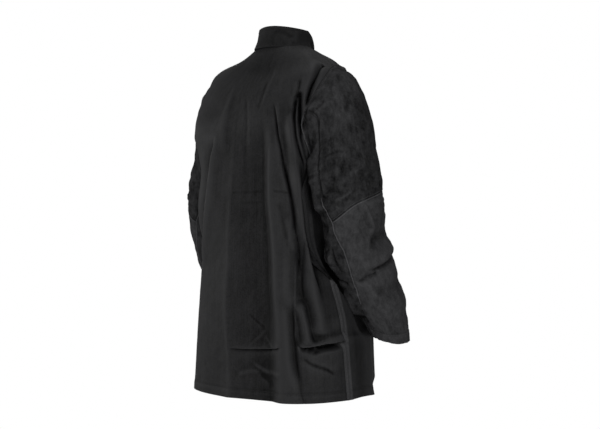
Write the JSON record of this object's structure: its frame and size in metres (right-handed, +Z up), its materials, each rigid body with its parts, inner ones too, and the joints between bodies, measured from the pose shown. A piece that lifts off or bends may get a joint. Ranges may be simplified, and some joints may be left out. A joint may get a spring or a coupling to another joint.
{
  "type": "leather-sleeved welding jacket",
  "caption": "Thigh-length welding jacket with a dark cloth body, stand-up collar and suede leather sleeves, held in its worn shape with hanging arms.",
  "frame": {"origin": "middle of the neck opening, level with the collar's seam at the nape", "axes": "+Z up along the standing wearer, -Y to the front, +X to the wearer's left"},
  "size_m": [0.5384, 0.2858, 0.8266],
  "materials": {
    "body_cloth": "dark charcoal twill, matt",
    "sleeve_suede": "dark grey split leather with a rough nap",
    "snap_metal": "plain dark snap cap"
  },
  "bodies": {
    "root": {"back_panel": "body_cloth", "front_left": "body_cloth", "front_right": "body_cloth", "collar": "body_cloth", "front_flap": "body_cloth", "side_strip_left": "body_cloth", "side_strip_right": "body_cloth", "sleeve_top_left": "sleeve_suede", "sleeve_top_right": "sleeve_suede", "forearm_left": "sleeve_suede", "forearm_right": "sleeve_suede", "sleeve_under_left": "sleeve_suede", "sleeve_under_right": "sleeve_suede", "snap_1": "snap_metal", "snap_2": "snap_metal", "snap_3": "snap_metal", "snap_4": "snap_metal", "snap_5": "snap_metal"}
  },
  "joints": []
}
